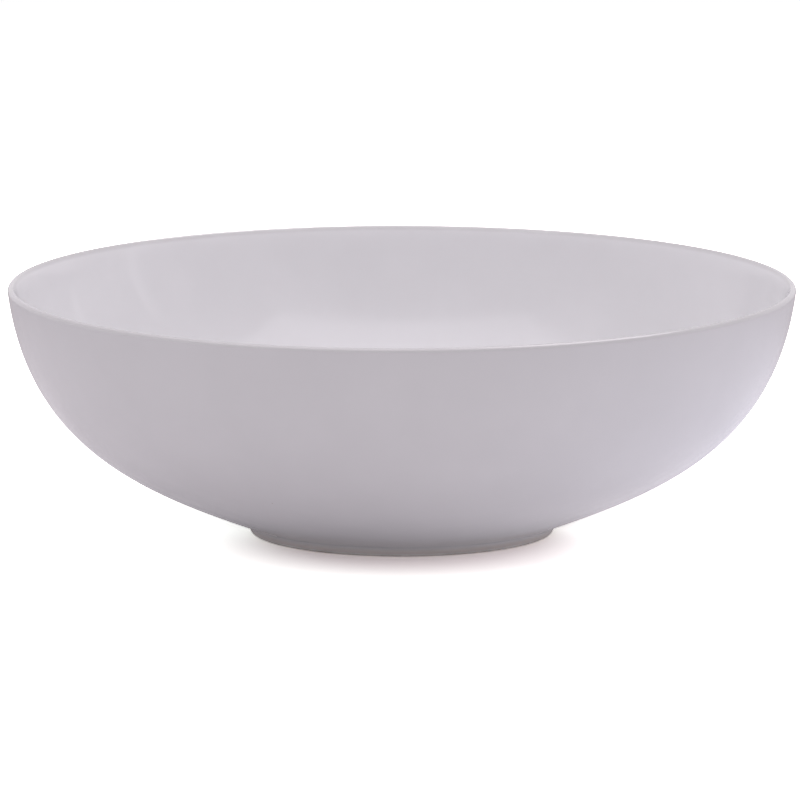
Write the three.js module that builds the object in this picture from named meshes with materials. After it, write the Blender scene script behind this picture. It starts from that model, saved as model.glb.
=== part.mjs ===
// A porcelain serving bowl: a bisque shell on a luted foot ring, under three separate coats of glaze.
//
// Millimetres, +Z up. The origin is on the bowl's axis, level with the standing face.
// Every piece is turned about that axis from an outline drawn in a half plane, where x is the radius
// and y is the height. A coat and the porcelain under it take their shared side from one list of
// points, so they meet face to face.

import * as THREE from 'three';

const DEGREES = Math.PI / 180;

// Overall sizes, measured over the glaze
const RIM_DIAMETER = 300;
const BOWL_HEIGHT = 94.7;
const FOOT_DIAMETER = 116.4; // where the wall leaves the foot

// Lip
const LIP_THICKNESS = 3.2;
const LIP_FLARE = 7.6 * DEGREES; // how far the wall still leans outwards at the lip

// Wall: one Bezier outside and one inside, each with a handle at both ends
const WALL_RISE = 21.1 * DEGREES; // slope of the wall where it leaves the foot
const OUTSIDE_FOOT_HANDLE = 45.2;
const OUTSIDE_LIP_HANDLE = 59.6;
const INSIDE_LIP_HANDLE = 66;
const WALL_THICKNESS = 3.8; // at the middle of the outside curve
const FLOOR_THICKNESS = 4.2; // on the axis

// Foot ring and the well inside it
const NOTCH_HEIGHT = 3.15; // from the table to where the wall leaves the foot
const WELL_DEPTH = 5;
const FOOT_RING_WIDTH = 4.6;
const FOOT_DRAFT = 8 * DEGREES;
const FOOT_EDGE_RADIUS = 0.7;
const WELL_CORNER_RADIUS = 1.5;

// Glaze
const GLAZE = 0.3; // thickness of every coat
const BARE_HEIGHT = 1; // the coats stop this far above the table
const NOTCH_POOL_RADIUS = 3.4; // glaze pooled in the notch between wall and foot

// How finely the round forms are divided
const TURN_STEPS = 60;
const WALL_STEPS = 10;
const LIP_STEPS = 3; // on each side of the crest
const CORNER_STEPS = 2;

// ---------------------------------------------------------------------------------------------
// Outline helpers
// ---------------------------------------------------------------------------------------------

function point(radius, height) {
  return new THREE.Vector2(radius, height);
}

function direction(angle) {
  return point(Math.cos(angle), Math.sin(angle));
}

function along(start, angle, distance) {
  return start.clone().addScaledVector(direction(angle), distance);
}

// A point of the curve, moved square to it; a positive distance moves it to the left.
function beside(curve, t, distance) {
  const tangent = curve.getTangent(t);
  return curve.getPoint(t).add(point(-tangent.y, tangent.x).multiplyScalar(distance));
}

function sideOf(curve, distance, steps) {
  return Array.from({ length: steps + 1 }, (_, i) => beside(curve, i / steps, distance));
}

function arc(centre, radius, from, to, steps) {
  const angles = Array.from({ length: steps + 1 }, (_, i) => from + ((to - from) * i) / steps);
  return angles.map((angle) => along(centre, angle, radius));
}

// The arc of the given radius that rounds the corner where a line along heading meets one along next.
function roundedCorner(corner, heading, next, radius, steps) {
  const turn = next - heading;
  const setback = radius * Math.tan(Math.abs(turn) / 2);
  const side = (Math.sign(turn) * Math.PI) / 2;
  const centre = along(along(corner, heading, -setback), heading + side, radius);
  return arc(centre, radius, heading - side, next - side, steps);
}

function gapTo(curve, from) {
  const samples = curve.getPoints(400);
  return Math.min(...samples.map((sample) => sample.distanceTo(from)));
}

// ---------------------------------------------------------------------------------------------
// The two faces of the wall, over the glaze
// ---------------------------------------------------------------------------------------------

const lipRadius = LIP_THICKNESS / 2;
const lipCentre = point(RIM_DIAMETER / 2 - lipRadius, BOWL_HEIGHT - lipRadius);
const lipDirection = Math.PI / 2 - LIP_FLARE;
const wallEnd = along(lipCentre, -LIP_FLARE, lipRadius);
const insideEnd = along(lipCentre, Math.PI - LIP_FLARE, lipRadius);

// The outside half starts level with the centre, which is the bowl's widest point.
function lipOutside(radius) {
  return arc(lipCentre, radius, 0, Math.PI / 2, LIP_STEPS);
}

function lipInside(radius) {
  return arc(lipCentre, radius, Math.PI / 2, Math.PI - LIP_FLARE, LIP_STEPS);
}

const wallStart = point(FOOT_DIAMETER / 2, NOTCH_HEIGHT);
const outsideCurve = new THREE.CubicBezierCurve(
  wallStart,
  along(wallStart, WALL_RISE, OUTSIDE_FOOT_HANDLE),
  along(wallEnd, lipDirection, -OUTSIDE_LIP_HANDLE),
  wallEnd,
);

const floorHeight = WELL_DEPTH + FLOOR_THICKNESS;

function insideCurveWith(floorHandle) {
  return new THREE.CubicBezierCurve(
    point(0, floorHeight),
    point(floorHandle, floorHeight),
    along(insideEnd, lipDirection, -INSIDE_LIP_HANDLE),
    insideEnd,
  );
}

// The longer the floor's handle, the closer the inside comes to the outside, so the handle that
// leaves the wanted thickness is found by halving.
function insideCurveForThickness(thickness) {
  const middle = outsideCurve.getPoint(0.5);
  let shortest = 0;
  let longest = RIM_DIAMETER / 2;
  while (longest - shortest > 1e-6) {
    const handle = (shortest + longest) / 2;
    if (gapTo(insideCurveWith(handle), middle) > thickness) {
      shortest = handle;
    } else {
      longest = handle;
    }
  }
  return insideCurveWith(shortest);
}

const insideCurve = insideCurveForThickness(WALL_THICKNESS);

// ---------------------------------------------------------------------------------------------
// Outlines of the fired porcelain, under the glaze
// ---------------------------------------------------------------------------------------------

// From the foot up to the crest of the lip, and from the crest down to the axis
const bisqueOutside = [...sideOf(outsideCurve, GLAZE, WALL_STEPS), ...lipOutside(lipRadius - GLAZE)];
const bisqueInside = [
  ...lipInside(lipRadius - GLAZE),
  ...sideOf(insideCurve, -GLAZE, WALL_STEPS).reverse().slice(1),
];

// The foot ring stands under the first point of the wall, and its outer side leans in towards the table.
const ringTop = bisqueOutside[0].y;
const ringOuterTop = bisqueOutside[0].x;
const ringInner = ringOuterTop - FOOT_RING_WIDTH;
const wellHeight = WELL_DEPTH + GLAZE;
const upTheFoot = Math.PI / 2 - FOOT_DRAFT;

function ringOuter(height) {
  return ringOuterTop - (ringTop - height) * Math.tan(FOOT_DRAFT);
}

const ringOutside = [point(ringOuter(BARE_HEIGHT), BARE_HEIGHT), point(ringOuterTop, ringTop)];
const ringInside = [point(ringInner, ringTop), point(ringInner, BARE_HEIGHT)];

function bowlBody() {
  return [
    point(0, wellHeight),
    point(ringInner, wellHeight),
    ringInside[0],
    ...bisqueOutside,
    ...bisqueInside.slice(1),
  ];
}

function footRing() {
  const outerEdge = point(ringOuter(0), 0);
  const innerEdge = point(ringInner, 0);
  return [
    ...roundedCorner(outerEdge, 0, upTheFoot, FOOT_EDGE_RADIUS, CORNER_STEPS),
    ...ringOutside,
    ...ringInside,
    ...roundedCorner(innerEdge, -Math.PI / 2, 0, FOOT_EDGE_RADIUS, CORNER_STEPS),
  ];
}

// ---------------------------------------------------------------------------------------------
// Outlines of the glaze coats: the open side first, then back along the porcelain
// ---------------------------------------------------------------------------------------------

function outsideGlaze() {
  const footSide = point(ringOuter(BARE_HEIGHT) + GLAZE, BARE_HEIGHT);
  const notch = point(ringOuter(NOTCH_HEIGHT) + GLAZE, NOTCH_HEIGHT);
  return [
    footSide,
    ...roundedCorner(notch, upTheFoot, WALL_RISE, NOTCH_POOL_RADIUS, CORNER_STEPS),
    ...sideOf(outsideCurve, 0, WALL_STEPS).slice(1),
    ...lipOutside(lipRadius),
    ...bisqueOutside.toReversed(),
    ringOutside[0],
  ];
}

function insideGlaze() {
  return [
    ...bisqueInside.toReversed(),
    ...lipInside(lipRadius),
    ...sideOf(insideCurve, 0, WALL_STEPS).reverse().slice(1),
  ];
}

function undersideGlaze() {
  const glazedWall = ringInner - GLAZE;
  const wellCorner = point(glazedWall, WELL_DEPTH);
  return [
    point(0, WELL_DEPTH),
    ...roundedCorner(wellCorner, 0, -Math.PI / 2, WELL_CORNER_RADIUS, CORNER_STEPS),
    point(glazedWall, BARE_HEIGHT),
    ...ringInside.toReversed(),
    point(ringInner, wellHeight),
    point(0, wellHeight),
  ];
}

// ---------------------------------------------------------------------------------------------
// Materials and assembly
// ---------------------------------------------------------------------------------------------

const bisque = new THREE.MeshStandardMaterial({ color: 0xe9e4da, roughness: 0.75, metalness: 0 });
const barePorcelain = new THREE.MeshStandardMaterial({ color: 0xddd5c8, roughness: 0.85, metalness: 0 });
const whiteGlaze = new THREE.MeshStandardMaterial({ color: 0xf2f0ef, roughness: 0.1, metalness: 0 });

// An outline that starts and ends on the axis is closed by the turn itself; a ring's outline is
// closed by repeating its first point.
function turned(outline) {
  const meetsAxis = outline[0].x === 0;
  const closed = meetsAxis ? outline : [...outline, outline[0]];
  return new THREE.LatheGeometry(closed, TURN_STEPS).rotateX(Math.PI / 2);
}

// A coat's outline runs back along the porcelain's, so the turn cuts each of its four-sided faces
// along the other diagonal. Cutting them the opposite way gives both sides the same triangles.
function cutTheOtherWay(geometry) {
  const corners = geometry.getIndex().array;
  for (let i = 0; i < corners.length; i += 6) {
    const [a, b, d, c] = corners.slice(i, i + 4);
    corners.set([a, b, c, a, c, d], i);
  }
  return geometry;
}

function subPart(name, geometry, material) {
  const mesh = new THREE.Mesh(geometry, material);
  mesh.name = name;
  return mesh;
}

function coat(name, outline) {
  return subPart(name, cutTheOtherWay(turned(outline)), whiteGlaze);
}

const bowl = new THREE.Group();
bowl.add(
  subPart('bowl_body', turned(bowlBody()), bisque),
  subPart('foot_ring', turned(footRing()), barePorcelain),
  coat('inside_glaze', insideGlaze()),
  coat('outside_glaze', outsideGlaze()),
  coat('underside_glaze', undersideGlaze()),
);

export default bowl;
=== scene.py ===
# %% [markdown]
# # A porcelain serving bowl
#
# This notebook dresses a wide porcelain bowl. The engineering model is loaded first and stays fixed:
# it says how wide the bowl is, how high it stands and how thick its glaze lies. On top of it we
# build fine, smooth pieces, give them glaze and bare porcelain, and set them in a small studio.
#
# The bowl is one fired thing made of five layers: a porcelain body, the foot ring luted under it,
# and three coats of glaze, of which the two on the wall meet along the crest of the lip.

# %% Load the fixed frame
import math

import bpy
import numpy as np
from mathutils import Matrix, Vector


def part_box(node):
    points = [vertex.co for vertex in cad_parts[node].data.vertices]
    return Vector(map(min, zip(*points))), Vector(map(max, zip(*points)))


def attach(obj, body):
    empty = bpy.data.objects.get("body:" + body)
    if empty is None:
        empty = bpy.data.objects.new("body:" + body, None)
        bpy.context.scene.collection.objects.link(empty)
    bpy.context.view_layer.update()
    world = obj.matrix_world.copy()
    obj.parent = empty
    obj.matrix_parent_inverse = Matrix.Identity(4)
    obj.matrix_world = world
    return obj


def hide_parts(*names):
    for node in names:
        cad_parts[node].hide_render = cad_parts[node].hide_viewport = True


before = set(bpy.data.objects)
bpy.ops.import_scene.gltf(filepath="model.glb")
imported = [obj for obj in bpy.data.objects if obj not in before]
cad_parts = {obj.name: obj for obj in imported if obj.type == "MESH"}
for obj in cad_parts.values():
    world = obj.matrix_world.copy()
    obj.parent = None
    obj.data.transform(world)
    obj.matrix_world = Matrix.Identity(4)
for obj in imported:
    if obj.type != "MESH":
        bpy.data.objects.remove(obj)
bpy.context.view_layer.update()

# %% [markdown]
# ## Sizes
#
# Every size that a box can show is read from the engineering model, so this notebook follows it if
# it changes. A box is a lowest and a highest corner. Because each piece is turned about the Z axis,
# the highest X of its box is its largest radius. A box can't show a slope, so the angles, the curve
# handles and the small radii are written here again, in metres and radians.

# %% Read the sizes from the frame
MILLIMETRE = 0.001

body_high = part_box("bowl_body")[1]
ring_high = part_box("foot_ring")[1]
inside_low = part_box("inside_glaze")[0]
outside_low, outside_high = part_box("outside_glaze")
well_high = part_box("underside_glaze")[1]

rim_radius = outside_high.x
bowl_height = outside_high.z
glaze = outside_high.x - body_high.x
ring_top = ring_high.z
ring_outer_top = ring_high.x
ring_inner = well_high.x
well_height = well_high.z
bare_height = outside_low.z
floor_height = inside_low.z + glaze

print(f"rim radius {rim_radius:.4f}, height {bowl_height:.4f}, glaze {glaze:.5f}")
print(f"foot ring radius {ring_inner:.4f} to {ring_outer_top:.4f}, top at {ring_top:.5f}")

# %% Slopes, handles and radii that a box can't show
LIP_RADIUS = 1.6 * MILLIMETRE
LIP_FLARE = math.radians(7.6)
WALL_RISE = math.radians(21.1)
FOOT_DRAFT = math.radians(8)
OUTSIDE_FOOT_HANDLE = 45.2 * MILLIMETRE
OUTSIDE_LIP_HANDLE = 59.6 * MILLIMETRE
INSIDE_LIP_HANDLE = 66 * MILLIMETRE
WALL_THICKNESS = 3.8 * MILLIMETRE
FOOT_EDGE_RADIUS = 0.7 * MILLIMETRE
WELL_CORNER_RADIUS = 1.5 * MILLIMETRE
NOTCH_POOL_RADIUS = 3.4 * MILLIMETRE
GLAZE_EDGE_RADIUS = 0.25 * MILLIMETRE
print(f"the lip is {2 * LIP_RADIUS:.4f} thick and the wall {WALL_THICKNESS:.4f}")

# %% [markdown]
# ## Drawing the outline
#
# A potter's template is half of the bowl's section: what is cut away when it is held against the
# turning clay. We draw the same thing as a list of points, radius first and height second. A spline
# through many points could follow it too, but two Bezier curves, one outside and one inside, need
# only their ends and two handles each, and can't wobble. Plain arcs round the outside of the lip,
# the foot and the notch. The porcelain lies one glaze thickness behind the surface that you see.

# %% Helpers for drawing outlines
def point(radius, height):
    return np.array([radius, height])


def heading(angle):
    return np.array([math.cos(angle), math.sin(angle)])


def bezier(corners, steps):
    """Points and unit directions along a cubic Bezier curve."""
    t = np.linspace(0, 1, steps + 1)[:, None]
    s = 1 - t
    p0, p1, p2, p3 = corners
    places = s**3 * p0 + 3 * s**2 * t * p1 + 3 * s * t**2 * p2 + t**3 * p3
    slopes = s**2 * (p1 - p0) + 2 * s * t * (p2 - p1) + t**2 * (p3 - p2)
    return places, slopes / np.linalg.norm(slopes, axis=1, keepdims=True)


def beside(corners, distance, steps):
    """The curve moved square to itself; a positive distance moves it to the left."""
    places, slopes = bezier(corners, steps)
    return places + distance * np.stack([-slopes[:, 1], slopes[:, 0]], axis=1)


def arc(centre, radius, start, end, steps):
    angles = np.linspace(start, end, steps + 1)
    return centre + radius * np.stack([np.cos(angles), np.sin(angles)], axis=1)


def rounded_corner(corner, arriving, leaving, radius, steps):
    """The arc that rounds the corner between a line heading one way and a line heading another."""
    turn = leaving - arriving
    side = math.copysign(math.pi / 2, turn)
    tangent_point = corner - heading(arriving) * radius * math.tan(abs(turn) / 2)
    centre = tangent_point + heading(arriving + side) * radius
    return arc(centre, radius, arriving - side, leaving - side, steps)


print("a straight Bezier passes its middle at", bezier([point(x, 0) for x in (0, 1, 2, 3)], 2)[0][1])

# %% The two faces of the wall
WALL_STEPS = 72
LIP_STEPS = 12

lip_centre = point(rim_radius - LIP_RADIUS, bowl_height - LIP_RADIUS)
wall_end = lip_centre + heading(-LIP_FLARE) * LIP_RADIUS
inside_end = lip_centre + heading(math.pi - LIP_FLARE) * LIP_RADIUS
up_the_lip = heading(math.pi / 2 - LIP_FLARE)

# The porcelain starts at the ring's top corner, and the glaze lies one thickness to its right.
wall_start = point(
    ring_outer_top + glaze * math.sin(WALL_RISE), ring_top - glaze * math.cos(WALL_RISE)
)
outside_curve = [
    wall_start,
    wall_start + heading(WALL_RISE) * OUTSIDE_FOOT_HANDLE,
    wall_end - up_the_lip * OUTSIDE_LIP_HANDLE,
    wall_end,
]
print("the wall starts at", wall_start.round(4), "and ends at", wall_end.round(4))

# %% Fit the inside to the wall's thickness
GAP_STEPS = 400
HALVINGS = 40


def inside_curve_with(floor_handle):
    return [
        point(0, floor_height),
        point(floor_handle, floor_height),
        inside_end - up_the_lip * INSIDE_LIP_HANDLE,
        inside_end,
    ]


def gap_at_middle(floor_handle):
    middle = bezier(outside_curve, 2)[0][1]
    places = bezier(inside_curve_with(floor_handle), GAP_STEPS)[0]
    return np.linalg.norm(places - middle, axis=1).min()


# Halving finds the floor handle that leaves the wall its thickness half way up.
shortest, longest = 0.0, rim_radius
for _ in range(HALVINGS):
    floor_handle = (shortest + longest) / 2
    if gap_at_middle(floor_handle) > WALL_THICKNESS:
        shortest = floor_handle
    else:
        longest = floor_handle
inside_curve = inside_curve_with(floor_handle)
print(f"floor handle {floor_handle:.4f} leaves {gap_at_middle(floor_handle) * 1000:.2f} mm of wall")

# %% [markdown]
# ## The lip, the foot and the coats
#
# Outside, the lip is a plain arc. Inside, a wet sponge has drawn it out into the last millimetres of
# the wall, and a second arc would leave a bead along the rim, so a short Bezier curve takes the place
# of the wall's top steps. The foot ring is a band with a leaning outer side and two softened edges.
# Each coat is drawn out along its free side and back along the porcelain, through the porcelain's own
# points, so that the two fit each other. The coats stop a millimetre above the table.

# %% Outline of the porcelain body
SPONGED_STEPS = 2
CREST_HANDLE = 1.0 * MILLIMETRE
SPONGED_HANDLE = 3.0 * MILLIMETRE


def lip_outside(radius):
    return arc(lip_centre, radius, -LIP_FLARE, math.pi / 2, LIP_STEPS)


def lip_inside(radius):
    crest = lip_centre + point(0, radius)
    wall_top = beside(inside_curve, radius - LIP_RADIUS, WALL_STEPS)[-1 - SPONGED_STEPS]
    up_the_wall = bezier(inside_curve, WALL_STEPS)[1][-1 - SPONGED_STEPS]
    corners = [
        crest,
        crest - point(CREST_HANDLE, 0),
        wall_top + up_the_wall * SPONGED_HANDLE,
        wall_top,
    ]
    return bezier(corners, 2 * LIP_STEPS)[0]


def wall_inside(depth):
    """The inside of the wall from just under the lip to the axis, some depth into the wall."""
    return beside(inside_curve, -depth, WALL_STEPS)[::-1][1 + SPONGED_STEPS:]


bisque_outside = np.vstack([
    beside(outside_curve, glaze, WALL_STEPS), lip_outside(LIP_RADIUS - glaze)[1:],
])
bisque_inside = np.vstack([lip_inside(LIP_RADIUS - glaze), wall_inside(glaze)])
bisque_inside[-1, 0] = 0
body_outline = np.vstack([
    [point(0, well_height), point(ring_inner, well_height), point(ring_inner, ring_top)],
    bisque_outside,
    bisque_inside[1:],
])
print("outline points: body", len(body_outline))

# %% Outline of the foot ring
CORNER_STEPS = 8


def ring_outer(height):
    return ring_outer_top - (ring_top - height) * math.tan(FOOT_DRAFT)


up_the_foot = math.pi / 2 - FOOT_DRAFT
ring_outside = np.array([point(ring_outer(bare_height), bare_height), point(ring_outer_top, ring_top)])
ring_inside = np.array([point(ring_inner, ring_top), point(ring_inner, bare_height)])
ring_outline = np.vstack([
    rounded_corner(point(ring_outer(0), 0), 0, up_the_foot, FOOT_EDGE_RADIUS, CORNER_STEPS),
    ring_outside,
    ring_inside,
    rounded_corner(point(ring_inner, 0), -math.pi / 2, 0, FOOT_EDGE_RADIUS, CORNER_STEPS),
])
print("outline points: ring", len(ring_outline))

# %% Outline of the outside coat
POOL_TO_WALL = 0.5 * MILLIMETRE  # the least gap between the pool's last point and the wall's next

notch = point(ring_outer(wall_start[1]) + glaze, wall_start[1])
foot_side = point(ring_outer(bare_height) + glaze, bare_height)
pool = rounded_corner(notch, up_the_foot, WALL_RISE, NOTCH_POOL_RADIUS, 2 * CORNER_STEPS)
wall_outside = beside(outside_curve, 0, WALL_STEPS)
past_the_pool = wall_outside[:, 0] > pool[-1, 0] + POOL_TO_WALL
outside_outline = np.vstack([
    rounded_corner(foot_side, 0, up_the_foot, GLAZE_EDGE_RADIUS, CORNER_STEPS),
    pool,
    wall_outside[past_the_pool],
    lip_outside(LIP_RADIUS)[1:],
    bisque_outside[::-1],
    [ring_outside[0]],
])
print("outline points: outside coat", len(outside_outline))

# %% Outlines of the inside and underside coats
inside_outline = np.vstack([bisque_inside[::-1], lip_inside(LIP_RADIUS), wall_inside(0)])
glazed_well = ring_inner - glaze
well_depth = well_height - glaze
well_corner = point(glazed_well, well_depth)
underside_outline = np.vstack([
    [point(0, well_depth)],
    rounded_corner(well_corner, 0, -math.pi / 2, WELL_CORNER_RADIUS, CORNER_STEPS),
    [point(glazed_well, bare_height)],
    ring_inside[::-1],
    [point(ring_inner, well_height), point(0, well_height)],
])
print("outline points: inside coat", len(inside_outline), "underside", len(underside_outline))

# %% [markdown]
# ## A wheel made of nodes
#
# Everything here is round, so one Geometry Nodes tree can turn every piece. It takes an outline drawn
# as loose edges, sweeps it around a circle, welds the points that meet on the axis, and then does
# what the jigger and the kiln do to a real bowl. The jigger's template leaves ripples a few
# thousandths of a millimetre deep, and a wide rim sinks by a fraction of a millimetre on two sides.
# The ripples only go inwards and the sag only goes down, so the piece stays inside the engineering
# model's box. A Screw modifier turns an outline too, but it can't ripple or sag what it turns.

# %% Helpers for node trees
def add_node(tree, kind, place=(0, 0), inputs=None, **settings):
    """A node with its settings and the values or links of its inputs, named or numbered."""
    node = tree.nodes.new(kind)
    node.location = place
    for name, value in settings.items():
        setattr(node, name, value)
    for name, value in (inputs or {}).items():
        if isinstance(value, bpy.types.NodeSocket):
            tree.links.new(value, node.inputs[name])
        else:
            node.inputs[name].default_value = value
    return node


def calculate(tree, operation, *values):
    """The result of one Math node."""
    inputs = dict(enumerate(values))
    return add_node(tree, "ShaderNodeMath", inputs=inputs, operation=operation).outputs[0]


def blend_range(tree, value, low, high, start=0.0, end=1.0):
    """Start below low, end above high, and a smooth step from one to the other between them."""
    inputs = {"Value": value, "From Min": low, "From Max": high, "To Min": start, "To Max": end}
    node = add_node(tree, "ShaderNodeMapRange", inputs=inputs, interpolation_type="SMOOTHSTEP")
    return node.outputs["Result"]


print("node helpers:", add_node.__name__, calculate.__name__, blend_range.__name__)

# %% Inputs of the turning wheel
WHEEL_INPUTS = [
    ("Outline", "Geometry"),
    ("Steps", "Int"),
    ("Axis distance", "Float"),
    ("Bowl height", "Float"),
    ("Kiln sag", "Float"),
    ("Ripple depth", "Float"),
    ("Ripple width", "Float"),
    ("Seed", "Float"),
    ("Crease angle", "Float"),
    ("Finish", "Material"),
]


def empty_wheel():
    tree = bpy.data.node_groups.new("turning wheel", "GeometryNodeTree")
    for name, kind in WHEEL_INPUTS:
        tree.interface.new_socket(name, in_out="INPUT", socket_type="NodeSocket" + kind)
    tree.interface.new_socket("Piece", in_out="OUTPUT", socket_type="NodeSocketGeometry")
    return tree


wheel = empty_wheel()
print("inputs:", ", ".join(name for name, kind in WHEEL_INPUTS))

# %% Sweep the outline and weld it on the axis
WELD_DISTANCE = 0.002 * MILLIMETRE


def swept_and_welded(tree, given):
    outline = add_node(tree, "GeometryNodeMeshToCurve", (-1200, 0), {"Mesh": given["Outline"]})
    circle = add_node(
        tree, "GeometryNodeCurvePrimitiveCircle", (-1200, 200),
        {"Resolution": given["Steps"], "Radius": given["Axis distance"]},
    )
    swept = add_node(
        tree, "GeometryNodeCurveToMesh", (-1000, 0),
        {"Curve": circle.outputs["Curve"], "Profile Curve": outline.outputs["Curve"]},
    )
    # The sweep comes out upside down, so it is turned over about the X axis.
    upright = add_node(
        tree, "GeometryNodeTransform", (-800, 0),
        {"Geometry": swept.outputs["Mesh"], "Rotation": (math.pi, 0, 0)},
    )
    welded = add_node(
        tree, "GeometryNodeMergeByDistance", (-600, 0),
        {"Geometry": upright.outputs["Geometry"], "Distance": WELD_DISTANCE},
    )
    return welded.outputs["Geometry"]


given = add_node(wheel, "NodeGroupInput", (-1400, 0)).outputs
welded = swept_and_welded(wheel, given)
print("sweeping takes", len(wheel.nodes), "nodes")

# %% Ripples from the template
def ripples(tree, given):
    """How far each point moves inwards; each outline point carries its distance along the outline."""
    trail = add_node(tree, "GeometryNodeInputNamedAttribute", (-1200, -300), {"Name": "trail"})
    turns = calculate(tree, "DIVIDE", trail.outputs["Attribute"], given["Ripple width"])
    ripple = add_node(
        tree, "ShaderNodeTexNoise", (-800, -300),
        {"W": calculate(tree, "ADD", turns, given["Seed"]), "Detail": 2.0},
        noise_dimensions="1D",
    )
    depth = calculate(tree, "MULTIPLY", ripple.outputs["Fac"], given["Ripple depth"])
    normal = add_node(tree, "GeometryNodeInputNormal", (-800, -500)).outputs["Normal"]
    inwards = add_node(
        tree, "ShaderNodeVectorMath", (-500, -300),
        {0: normal, "Scale": calculate(tree, "MULTIPLY", depth, -1.0)}, operation="SCALE",
    )
    return inwards.outputs[0]


inwards = ripples(wheel, given)
print("with ripples:", len(wheel.nodes), "nodes")

# %% Sag in the kiln
def kiln_sag(tree, given):
    """How far each point sinks: by the square of its height, on two sides out of four."""
    place = add_node(tree, "GeometryNodeInputPosition", (-1200, -700))
    axes = add_node(tree, "ShaderNodeSeparateXYZ", (-1000, -700), {0: place.outputs[0]}).outputs
    angle = calculate(tree, "ARCTAN2", axes["Y"], axes["X"])
    lobes = calculate(tree, "SINE", calculate(tree, "MULTIPLY", angle, 2.0))
    share = calculate(tree, "MULTIPLY_ADD", lobes, 0.5, 0.5)
    level = calculate(tree, "DIVIDE", axes["Z"], given["Bowl height"])
    sag = calculate(tree, "MULTIPLY", share, calculate(tree, "MULTIPLY", level, level))
    sink = calculate(tree, "MULTIPLY", sag, calculate(tree, "MULTIPLY", given["Kiln sag"], -1.0))
    return add_node(tree, "ShaderNodeCombineXYZ", (-300, -700), {"Z": sink}).outputs[0]


downwards = kiln_sag(wheel, given)
print("with the sag:", len(wheel.nodes), "nodes")

# %% Move, smooth and finish
def finished(tree, given, mesh, inwards, downwards):
    """The wheel's last nodes; the piece is smooth everywhere except along true edges."""
    moved = add_node(
        tree, "ShaderNodeVectorMath", (-200, -300), {0: inwards, 1: downwards}, operation="ADD",
    )
    shaped = add_node(
        tree, "GeometryNodeSetPosition", (-100, 0), {"Geometry": mesh, "Offset": moved.outputs[0]},
    )
    smooth = add_node(
        tree, "GeometryNodeSetShadeSmooth", (100, 0), {"Geometry": shaped.outputs["Geometry"]},
        domain="FACE",
    )
    fold = add_node(tree, "GeometryNodeInputMeshEdgeAngle", (-100, -200))
    is_edge = add_node(
        tree, "FunctionNodeCompare", (100, -200),
        {0: fold.outputs["Unsigned Angle"], 1: given["Crease angle"]},
        data_type="FLOAT", operation="GREATER_THAN",
    )
    creased = add_node(
        tree, "GeometryNodeSetShadeSmooth", (300, 0),
        {"Geometry": smooth.outputs[0], "Selection": is_edge.outputs[0], "Shade Smooth": False},
        domain="EDGE",
    )
    real = add_node(tree, "GeometryNodeRealizeInstances", (500, 0), {0: creased.outputs[0]})
    return add_node(
        tree, "GeometryNodeSetMaterial", (700, 0), {0: real.outputs[0], "Material": given["Finish"]},
    )


last = finished(wheel, given, welded, inwards, downwards)
add_node(wheel, "NodeGroupOutput", (900, 0), {0: last.outputs[0]})
print("turning wheel:", len(wheel.nodes), "nodes")

# %% Turn one piece
TURN_STEPS = 288
AXIS_DISTANCE = rim_radius / 2
KILN_SAG = 0.25 * MILLIMETRE
RIPPLE_WIDTH = 4 * MILLIMETRE
CREASE_ANGLE = math.radians(35)


def socket_id(tree, name):
    return next(s.identifier for s in tree.interface.items_tree if s.name == name)


def drawn_outline(name, outline):
    """Loose edges along the outline; one that doesn't start on the axis is closed."""
    count = len(outline)
    edges = [(i, i + 1) for i in range(count - 1)]
    if outline[0][0] > 0:
        edges.append((count - 1, 0))
    drawn = bpy.data.meshes.new(name + " outline")
    drawn.from_pydata([(r - AXIS_DISTANCE, z, 0) for r, z in outline], edges, [])
    lengths = np.linalg.norm(np.diff(outline, axis=0), axis=1)
    trail = drawn.attributes.new("trail", "FLOAT", "POINT")
    trail.data.foreach_set("value", np.concatenate([[0], np.cumsum(lengths)]).astype(np.float32))
    return drawn


def turn(name, outline, finish, ripple_depth=0.0, seed=1.0):
    """A plain mesh object: the outline turned about the Z axis on the wheel."""
    drawn = drawn_outline(name, outline)
    piece = bpy.data.objects.new(name, drawn)
    bpy.context.scene.collection.objects.link(piece)
    modifier = piece.modifiers.new("wheel", "NODES")
    modifier.node_group = wheel
    settings = {
        "Steps": TURN_STEPS, "Axis distance": AXIS_DISTANCE, "Bowl height": bowl_height,
        "Kiln sag": KILN_SAG, "Ripple depth": ripple_depth, "Ripple width": RIPPLE_WIDTH,
        "Seed": seed, "Crease angle": CREASE_ANGLE, "Finish": finish,
    }
    for label, value in settings.items():
        modifier[socket_id(wheel, label)] = value
    evaluated = piece.evaluated_get(bpy.context.evaluated_depsgraph_get())
    turned = bpy.data.meshes.new_from_object(evaluated)
    piece.modifiers.remove(modifier)
    piece.data = turned
    turned.name = name
    bpy.data.meshes.remove(drawn)
    turned.calc_loop_triangles()
    print(f"{name}: {len(turned.vertices)} points, {len(turned.loop_triangles)} triangles")
    return piece


print("every piece is turned in", TURN_STEPS, "steps")

# %% [markdown]
# ## Glaze
#
# Glaze is a skin of clear glass over white porcelain. What the eye reads is the mirror-like surface,
# so the reflections matter more than the colour. Three things keep it from looking like plastic: the
# surface is not quite flat, because the melt leaves a faint orange peel; the coat is thin and a
# little grey over the lip, cool where it has pooled in the notch, and warm on the foot, where the
# porcelain shows through; and here and there a grain of iron has melted into a pale brown freckle.
# The lip's top, the notch and the foot are also darker than the glaze alone makes them. That is
# painted shade: on the lip's top, which faces the lights, and lower down, where the bowl nears the
# table.
# A painted image could show all this, but patterns worked out from the place on the bowl have no
# seam and stay sharp from any distance.

# %% Helpers for materials
COLOUR_A = 6
COLOUR_B = 7


def new_material(name):
    material = bpy.data.materials.new(name)
    material.use_nodes = True
    tree = material.node_tree
    return material, tree, tree.nodes["Principled BSDF"]


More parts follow.
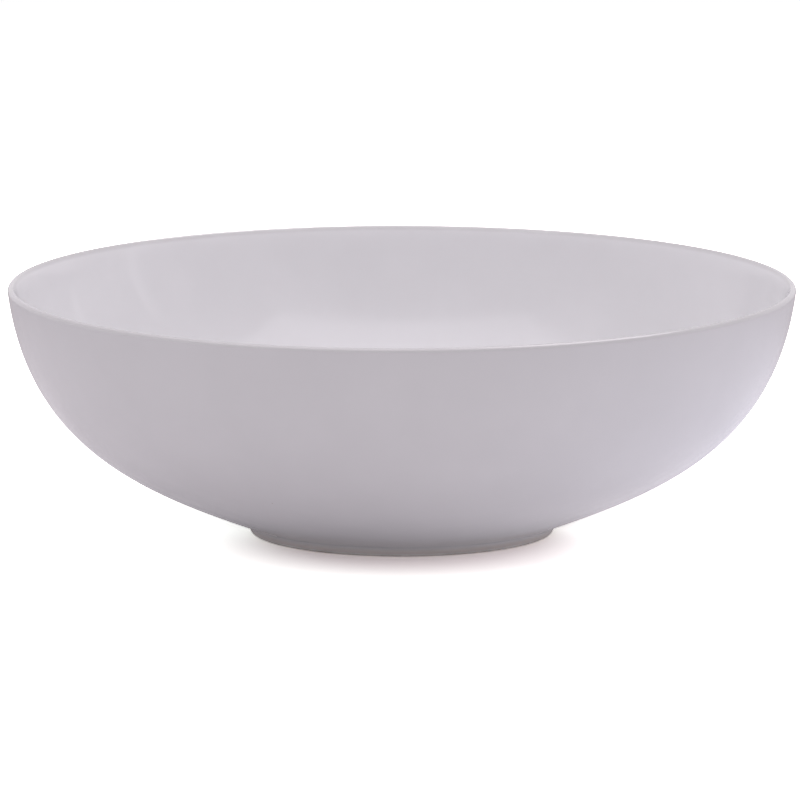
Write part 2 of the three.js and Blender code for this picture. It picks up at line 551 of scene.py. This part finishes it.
def object_place(tree):
    """The place on the piece, and the same place split into X, Y and Z."""
    place = add_node(tree, "ShaderNodeTexCoord").outputs["Object"]
    return place, add_node(tree, "ShaderNodeSeparateXYZ", inputs={0: place}).outputs


def noise(tree, vector, scale, detail=2.0, roughness=0.5):
    inputs = {"Vector": vector, "Scale": scale, "Detail": detail, "Roughness": roughness}
    return add_node(tree, "ShaderNodeTexNoise", inputs=inputs).outputs["Fac"]


def mix_colour(tree, share, first, second):
    """A Mix node has numbers, vectors and colours under the same names, so colours go by number."""
    inputs = {"Factor": share, COLOUR_A: first, COLOUR_B: second}
    return add_node(tree, "ShaderNodeMix", inputs=inputs, data_type="RGBA").outputs[2]


def dimmed(colour, share):
    return tuple(c * share for c in colour[:3]) + (1,)


print("half of a pale grey is", dimmed((0.8, 0.8, 0.8, 1), 0.5))

# %% Colours of the glaze
GLAZE_WHITE = (0.80, 0.795, 0.805, 1)
# The lip's grey: thin glaze, and painted shade where the lip's top faces the lights
GLAZE_THIN_AND_SHADED = (0.66, 0.648, 0.652, 1)
# The notch's tint: pooled glaze, and painted shade low on the wall
GLAZE_POOLED_AND_SHADED = (0.755, 0.76, 0.77, 1)
# The foot's tint: porcelain through the glaze, and painted shade near the table
GLAZE_ON_FOOT_AND_SHADE = (0.68, 0.63, 0.60, 1)
CLOUDY_SHARE = 0.975
LIP_THINNING_AND_SHADE = (2.2 * MILLIMETRE, 0.6 * MILLIMETRE)  # below the crest: its start and its full effect
NOTCH_POOL_AND_SHADE_HEIGHTS = (3.5 * MILLIMETRE, 8 * MILLIMETRE)
NOTCH_POOL_AND_SHADE_SHARE = 0.8
FOOT_TINT_AND_SHADE_HEIGHTS = (1.5 * MILLIMETRE, 4 * MILLIMETRE)


def glaze_colour(tree, place, height, white):
    """White with faint clouds, a thin grey lip, a cool pool in the notch and a warm foot; painted shade
    darkens all three.
    """
    cloud = blend_range(tree, noise(tree, place, 28, 3), 0.3, 0.7)
    colour = mix_colour(tree, cloud, dimmed(white, CLOUDY_SHARE), white)
    starts, full = LIP_THINNING_AND_SHADE
    # Painted shade and thin glaze: the last millimetres under the crest are darker
    thin = blend_range(tree, height, bowl_height - starts, bowl_height - full)
    colour = mix_colour(tree, thin, colour, GLAZE_THIN_AND_SHADED)
    # Painted shade and pooled glaze: darker in the notch
    pooled_and_shaded = blend_range(tree, height, *NOTCH_POOL_AND_SHADE_HEIGHTS, NOTCH_POOL_AND_SHADE_SHARE, 0)
    colour = mix_colour(tree, pooled_and_shaded, colour, GLAZE_POOLED_AND_SHADED)
    # Painted shade and a warm tint: darker on the foot, near the table
    on_foot_and_shaded = blend_range(tree, height, *FOOT_TINT_AND_SHADE_HEIGHTS, 1, 0)
    return mix_colour(tree, on_foot_and_shaded, colour, GLAZE_ON_FOOT_AND_SHADE)


print("the lip's glaze starts to thin", LIP_THINNING_AND_SHADE[0], "m below the crest")

# %% Iron freckles
IRON_FRECKLE = (0.42, 0.34, 0.27, 1)
FRECKLE_CELLS = 42
FRECKLE_HEART = (0.008, 0.02)
FRECKLE_RARITY = 0.93
FRECKLE_SHARE = 0.45


def freckled(tree, place, colour):
    """A freckle in the heart of a few cells out of many."""
    cells = add_node(tree, "ShaderNodeTexVoronoi", inputs={"Vector": place, "Scale": FRECKLE_CELLS})
    heart = blend_range(tree, cells.outputs["Distance"], *FRECKLE_HEART, 1, 0)
    chosen = add_node(tree, "ShaderNodeSeparateColor", inputs={0: cells.outputs["Color"]})
    rare = calculate(tree, "GREATER_THAN", chosen.outputs[0], FRECKLE_RARITY)
    freckle = calculate(tree, "MULTIPLY", heart, calculate(tree, "MULTIPLY", rare, FRECKLE_SHARE))
    return mix_colour(tree, freckle, colour, IRON_FRECKLE)


print(f"one cell in {1 / (1 - FRECKLE_RARITY):.0f} has a freckle")

# %% Orange peel
PEEL_BROAD = 90
PEEL_FINE = 420
FINE_SHARE = 0.25


def orange_peel(tree, place, peel_height):
    """The glaze's bumps, in two sizes."""
    broad = noise(tree, place, PEEL_BROAD)
    fine = noise(tree, place, PEEL_FINE)
    peel = calculate(tree, "MULTIPLY_ADD", fine, FINE_SHARE, broad)
    bump = add_node(
        tree, "ShaderNodeBump",
        inputs={"Height": peel, "Distance": peel_height, "Strength": 1.0},
    )
    return bump.outputs["Normal"]


print(f"the broad bumps are about {1000 / PEEL_BROAD:.0f} mm across")

# %% The two glazes
HANDLED = (0.35, 0.75)  # the glaze dulls between these values of the wear pattern
ROUGHNESS = (0.10, 0.16)
WELL_SHARE = 0.97


def glaze_material(name, white, peel_height):
    material, tree, shader = new_material(name)
    place, axes = object_place(tree)
    colour = freckled(tree, place, glaze_colour(tree, place, axes["Z"], white))
    tree.links.new(colour, shader.inputs["Base Color"])

    # A little duller where fingers and cloths have been
    wear = noise(tree, place, 55, 4, 0.6)
    tree.links.new(blend_range(tree, wear, *HANDLED, *ROUGHNESS), shader.inputs["Roughness"])
    tree.links.new(orange_peel(tree, place, peel_height), shader.inputs["Normal"])
    shader.inputs["IOR"].default_value = 1.52
    shader.inputs["Coat Weight"].default_value = 0.25
    shader.inputs["Coat Roughness"].default_value = 0.06
    return material


main_glaze = glaze_material("white glaze", GLAZE_WHITE, 0.02 * MILLIMETRE)
well_glaze = glaze_material("well glaze", dimmed(GLAZE_WHITE, WELL_SHARE), 0.05 * MILLIMETRE)
print("glazes:", main_glaze.name, "and", well_glaze.name)

# %% [markdown]
# ## Bare porcelain
#
# Under the glaze the porcelain is matt and slightly warm. The foot ring shows it: the glaze is wiped
# off there so that the bowl doesn't stick to the kiln shelf, and the face is then sanded. Sanding
# leaves fine scratches that run round the ring, and years on shelves leave it a little grey. The grey
# on the last millimetre or so above the table is also painted shade, where the ring meets the table.
# The scratches lie a tenth of a millimetre apart, too close to cut into the mesh, so a bump draws them.

# %% Colour of the bare porcelain
BISQUE_WARM = (0.82, 0.79, 0.75, 1)
BISQUE_PALE = (0.88, 0.86, 0.83, 1)
# Grey of shelf wear and specks, and painted shade on the ring's lowest millimetre
SHELF_GREY_AND_SHADE = (0.46, 0.43, 0.40, 1)
WORN_AND_SHADED_HEIGHTS = (0.4 * MILLIMETRE, 1.6 * MILLIMETRE)
SMUDGE_AND_SHADE_SHARES = (0.35, 0.8)


def bisque_colour(tree, place, grain):
    cloud = blend_range(tree, noise(tree, place, 60, 3), 0.3, 0.7)
    colour = mix_colour(tree, cloud, BISQUE_WARM, BISQUE_PALE)
    specks = blend_range(tree, grain, 0.62, 0.78, 0, 0.35)
    return mix_colour(tree, specks, colour, SHELF_GREY_AND_SHADE)


def shelf_worn_and_shaded(tree, place, height, colour):
    """Grey in smudges on the last millimetre or so above the table: shelf wear and painted shade."""
    # Painted shade and shelf wear: darker towards the table
    worn = blend_range(tree, height, *WORN_AND_SHADED_HEIGHTS, 1, 0)
    smudges = blend_range(tree, noise(tree, place, 110, 4), 0.35, 0.7, *SMUDGE_AND_SHADE_SHARES)
    return mix_colour(tree, calculate(tree, "MULTIPLY", worn, smudges), colour, SHELF_GREY_AND_SHADE)


print("the ring is worn up to", WORN_AND_SHADED_HEIGHTS[1], "m above the table")

# %% Sanding scratches
SCRATCHES_PER_METRE = 9000.0


def sanding_rings(tree, axes):
    """Scratches that run round the axis, so they are drawn against the radius alone."""
    across = calculate(tree, "MULTIPLY", axes["X"], axes["X"])
    radius = calculate(tree, "SQRT", calculate(tree, "MULTIPLY_ADD", axes["Y"], axes["Y"], across))
    rings = add_node(
        tree, "ShaderNodeTexNoise", noise_dimensions="1D",
        inputs={"W": calculate(tree, "MULTIPLY", radius, SCRATCHES_PER_METRE), "Detail": 3.0},
    )
    return rings.outputs["Fac"]


print(f"scratches lie about {1000 / SCRATCHES_PER_METRE:.2f} mm apart")

# %% The two bare finishes
GRAIN = 2600
GRAIN_RELIEF = 0.02 * MILLIMETRE


def bare_porcelain(name, sanded):
    material, tree, shader = new_material(name)
    place, axes = object_place(tree)
    grain = noise(tree, place, GRAIN, 3, 0.7)
    colour = bisque_colour(tree, place, grain)
    relief = grain
    if sanded:
        colour = shelf_worn_and_shaded(tree, place, axes["Z"], colour)
        relief = calculate(tree, "ADD", sanding_rings(tree, axes), grain)
    tree.links.new(colour, shader.inputs["Base Color"])
    tree.links.new(blend_range(tree, grain, 0.3, 0.7, 0.62, 0.85), shader.inputs["Roughness"])
    bump = add_node(
        tree, "ShaderNodeBump",
        inputs={"Height": relief, "Distance": GRAIN_RELIEF, "Strength": 0.8},
    )
    tree.links.new(bump.outputs["Normal"], shader.inputs["Normal"])
    return material


body_porcelain = bare_porcelain("bisque porcelain", sanded=False)
foot_porcelain = bare_porcelain("sanded foot porcelain", sanded=True)
print("porcelains:", body_porcelain.name, "and", foot_porcelain.name)

# %% [markdown]
# ## The five pieces
#
# Each piece takes the place of the engineering node of the same part of the bowl and rides on the
# same body. The two coats on the wall share a finish but stay two pieces, as they would if the
# inside were glazed in one colour and the outside in another.

# %% Turn the pieces
RIPPLE_DEPTH = 0.012 * MILLIMETRE

porcelain_body = turn("porcelain_body", body_outline, body_porcelain)
porcelain_foot = turn("porcelain_foot_ring", ring_outline, foot_porcelain)
glaze_outside = turn("glaze_outside", outside_outline, main_glaze, RIPPLE_DEPTH, seed=3.0)
glaze_inside = turn("glaze_inside", inside_outline, main_glaze, RIPPLE_DEPTH, seed=7.0)
glaze_underside = turn("glaze_underside", underside_outline, well_glaze, RIPPLE_DEPTH, seed=11.0)

# %% Put the pieces on the frame
places = [
    (porcelain_body, "bowl_body", "bisque_body"),
    (porcelain_foot, "foot_ring", "bare_foot"),
    (glaze_outside, "outside_glaze", "outside_coat"),
    (glaze_inside, "inside_glaze", "inside_coat"),
    (glaze_underside, "underside_glaze", "underside_coat"),
]
for piece, node, slot in places:
    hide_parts(node)
    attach(piece, "root")
print("on the frame:", ", ".join(piece.name for piece, node, slot in places))

# %% [markdown]
# ## The camera
#
# A bowl looks calm when it is seen from far away through a long lens, because the rim's ellipse then
# stays even from front to back. The camera stands four and a half metres off and looks down by just
# under ten degrees, enough to show the inside of the far wall and none of the floor.

# %% Camera
CAMERA_DISTANCE = 30 * rim_radius
CAMERA_TILT = math.radians(9.59)
LENS = 539
SENSOR_WIDTH = 36
FARTHEST_SEEN = 20
AIM = Vector((-0.0007, 0, 0.0502))

camera_data = bpy.data.cameras.new("camera")
camera_data.lens = LENS
camera_data.sensor_width = SENSOR_WIDTH
camera_data.clip_end = FARTHEST_SEEN
camera = bpy.data.objects.new("camera", camera_data)
bpy.context.scene.collection.objects.link(camera)
camera.location = AIM + Vector((0, -CAMERA_DISTANCE, CAMERA_DISTANCE * math.tan(CAMERA_TILT)))
camera.rotation_euler = (math.pi / 2 - CAMERA_TILT, 0, 0)
bpy.context.scene.camera = camera
print("camera at", [round(x, 3) for x in camera.location], "lens", camera_data.lens, "mm")

# %% [markdown]
# ## The studio
#
# White china on a white table is lit from all round with soft light: a pale dome, a wide softbox
# overhead and two smaller ones behind the bowl, high up on either side. Two thin strip lights stand
# on the right, and the glaze mirrors them as upright streaks. A few hard lamps would be brighter, but
# each would leave a hot spot in the gloss.
#
# Most of the light on the outside wall comes from below, because the wall looks down at the table.
# The table is bright enough to wash out to paper white, except right under the bowl, where its
# shade leaves a thin warm-grey line that makes the bowl stand on something. The pool of light round
# the bowl is stronger on the right, and its reflection is the cool sheen along the right-hand edge.

# %% The pool of light on the table
# Distances from the axis: the light rises from the first to the second, then falls away
POOL_RISE = (0.035, 0.09)
POOL_FALL = (0.18, 0.52)
POOL_LIGHT = 0.21
POOL_LEAN = 0.092
POOL_SIDES = 0.12
POOL_COLOUR = (1.0, 0.965, 1.03, 1)
POOL_COLOUR_RIGHT = (0.96, 0.975, 1.12, 1)
COOL_SIDES = (0.1, 0.9)
COOL_DISTANCES = (0.08, 0.18)


def light_pool(tree, distance, side):
    """A glow that leans to the right, where it is cooler; side is 1 on the right and -1 on the left."""
    rise = blend_range(tree, distance, *POOL_RISE)
    fall = blend_range(tree, distance, *POOL_FALL, 1, 0)
    lean = calculate(tree, "MULTIPLY_ADD", side, POOL_LEAN, POOL_LIGHT)
    level = calculate(tree, "MULTIPLY_ADD", calculate(tree, "MULTIPLY", side, side), POOL_SIDES, lean)
    strength = calculate(tree, "MULTIPLY", calculate(tree, "MULTIPLY", rise, fall), level)
    on_the_right = blend_range(tree, side, *COOL_SIDES)
    coolness = calculate(tree, "MULTIPLY", on_the_right, blend_range(tree, distance, *COOL_DISTANCES))
    tint = mix_colour(tree, coolness, POOL_COLOUR, POOL_COLOUR_RIGHT)
    return add_node(tree, "ShaderNodeEmission", inputs={"Color": tint, "Strength": strength}).outputs[0]


print("the pool is full from", POOL_RISE[1], "to", POOL_FALL[0], "m")

# %% The shade under the bowl
SHADE_EDGE = (0.066, 0.125)
SHADE_TAPER = 0.045
SHADE_SHIFT = 0.007
FILL_COLOUR = (0.97, 1.11, 1.05, 1)
FILL_LIGHT = 0.5


def shade_fill(tree, distance, side, frontness):
    """Light that fills the table outside the shade, which is narrower beside the foot than before it."""
    beside_foot = calculate(tree, "MULTIPLY", calculate(tree, "SUBTRACT", 1.0, frontness), SHADE_TAPER)
    reach = calculate(tree, "ADD", distance, beside_foot)
    reach = calculate(tree, "MULTIPLY_ADD", side, -SHADE_SHIFT, reach)
    strength = blend_range(tree, reach, *SHADE_EDGE, 0, FILL_LIGHT)
    inputs = {"Color": FILL_COLOUR, "Strength": strength}
    return add_node(tree, "ShaderNodeEmission", inputs=inputs).outputs[0]


print("in front of the foot the shade ends", SHADE_EDGE[1], "m from the axis")

# %% Table
TABLE_SIZE = 3.0
TABLE_SEEN = (2.0, 1.89, 1.80, 1)
TABLE_BOUNCE = (0.51, 0.49, 0.50, 1)
LEAST_DISTANCE = 0.001


def table_material():
    """One table for the camera and another, duller one for the light that falls back on the bowl."""
    material, tree, shader = new_material("table white")
    tree.nodes.remove(shader)
    place, axes = object_place(tree)
    length = add_node(tree, "ShaderNodeVectorMath", inputs={0: place}, operation="LENGTH")
    distance = calculate(tree, "MAXIMUM", length.outputs["Value"], LEAST_DISTANCE)
    side = calculate(tree, "DIVIDE", axes["X"], distance)
    frontness = calculate(tree, "ABSOLUTE", calculate(tree, "DIVIDE", axes["Y"], distance))

    felt = add_node(tree, "ShaderNodeBsdfDiffuse", inputs={"Color": TABLE_BOUNCE}).outputs[0]
    seen = add_node(tree, "ShaderNodeBsdfDiffuse", inputs={"Color": TABLE_SEEN}).outputs[0]
    glow = light_pool(tree, distance, side)
    fill = shade_fill(tree, distance, side, frontness)
    bounce = add_node(tree, "ShaderNodeAddShader", inputs={0: felt, 1: glow}).outputs[0]
    shown = add_node(tree, "ShaderNodeAddShader", inputs={0: seen, 1: fill}).outputs[0]
    from_camera = add_node(tree, "ShaderNodeLightPath").outputs["Is Camera Ray"]
    mixed = add_node(tree, "ShaderNodeMixShader", inputs={0: from_camera, 1: bounce, 2: shown})
    tree.links.new(mixed.outputs[0], tree.nodes["Material Output"].inputs["Surface"])
    return material


table_mesh = bpy.data.meshes.new("table")
half = TABLE_SIZE / 2
corners = [(-half, -half, 0), (half, -half, 0), (half, half, 0), (-half, half, 0)]
table_mesh.from_pydata(corners, [], [(0, 1, 2, 3)])
table = bpy.data.objects.new("table", table_mesh)
table_mesh.materials.append(table_material())
bpy.context.scene.collection.objects.link(table)
print("table:", TABLE_SIZE, "m square")

# %% Dome
LIGHT_COLOUR = (1.0, 0.96, 1.01)
DOME_LOW = 0.80
DOME_HIGH = 0.42
DOME_RISE = (0.0, 0.6)  # the upward part of a direction: level at the first, high at the second

world = bpy.data.worlds.new("studio")
bpy.context.scene.world = world
world.use_nodes = True
sky = world.node_tree
sky.nodes.clear()
direction = add_node(sky, "ShaderNodeTexCoord").outputs["Generated"]
upwards = add_node(sky, "ShaderNodeSeparateXYZ", inputs={0: direction}).outputs["Z"]
dome_strength = blend_range(sky, upwards, *DOME_RISE, DOME_LOW, DOME_HIGH)
dome = add_node(
    sky, "ShaderNodeBackground", inputs={"Color": LIGHT_COLOUR + (1,), "Strength": dome_strength},
)
white_out = add_node(sky, "ShaderNodeBackground", inputs={"Color": (1, 1, 1, 1), "Strength": 1.0})
sky_seen = add_node(sky, "ShaderNodeLightPath").outputs["Is Camera Ray"]
sky_mix = add_node(
    sky, "ShaderNodeMixShader", inputs={0: sky_seen, 1: dome.outputs[0], 2: white_out.outputs[0]},
)
add_node(sky, "ShaderNodeOutputWorld", inputs={0: sky_mix.outputs[0]})
print("dome strength:", DOME_LOW, "at the horizon,", DOME_HIGH, "above")

# %% Softboxes and strips
def softbox(name, turned, raised, distance, size, watts, mirrored=True):
    """A rectangle of light that faces the bowl, turned from the front and raised by some degrees."""
    data = bpy.data.lights.new(name, "AREA")
    data.shape = "RECTANGLE"
    data.size, data.size_y = size
    data.energy = watts
    data.color = LIGHT_COLOUR
    around, above = math.radians(turned), math.radians(raised)
    away = Vector((
        math.sin(around) * math.cos(above), -math.cos(around) * math.cos(above), math.sin(above),
    ))
    light = bpy.data.objects.new(name, data)
    light.location = Vector((0, 0, bowl_height / 2)) + away * distance
    light.rotation_euler = (-away).to_track_quat("-Z", "Y").to_euler()
    light.visible_camera = False
    light.visible_glossy = mirrored
    bpy.context.scene.collection.objects.link(light)
    return light


# The left one of the two boxes behind isn't mirrored in the glaze, so the lip's bright line stays on
# the right.
BEHIND = (1.05, 0.8)
lights = [
    softbox("overhead", turned=0, raised=80, distance=1.6, size=(2.4, 1.6), watts=9.2),
    softbox("behind right", turned=118, raised=62, distance=1.6, size=BEHIND, watts=6.2),
    softbox("behind left", turned=240, raised=62, distance=1.6, size=BEHIND, watts=5.2, mirrored=False),
    softbox("strip right", turned=95, raised=16, distance=1.3, size=(0.06, 0.6), watts=0.09),
    softbox("strip far right", turned=127, raised=8, distance=1.3, size=(0.06, 0.3), watts=0.02),
]
bpy.context.scene.view_settings.view_transform = "Standard"
print("lights:", ", ".join(light.name for light in lights))
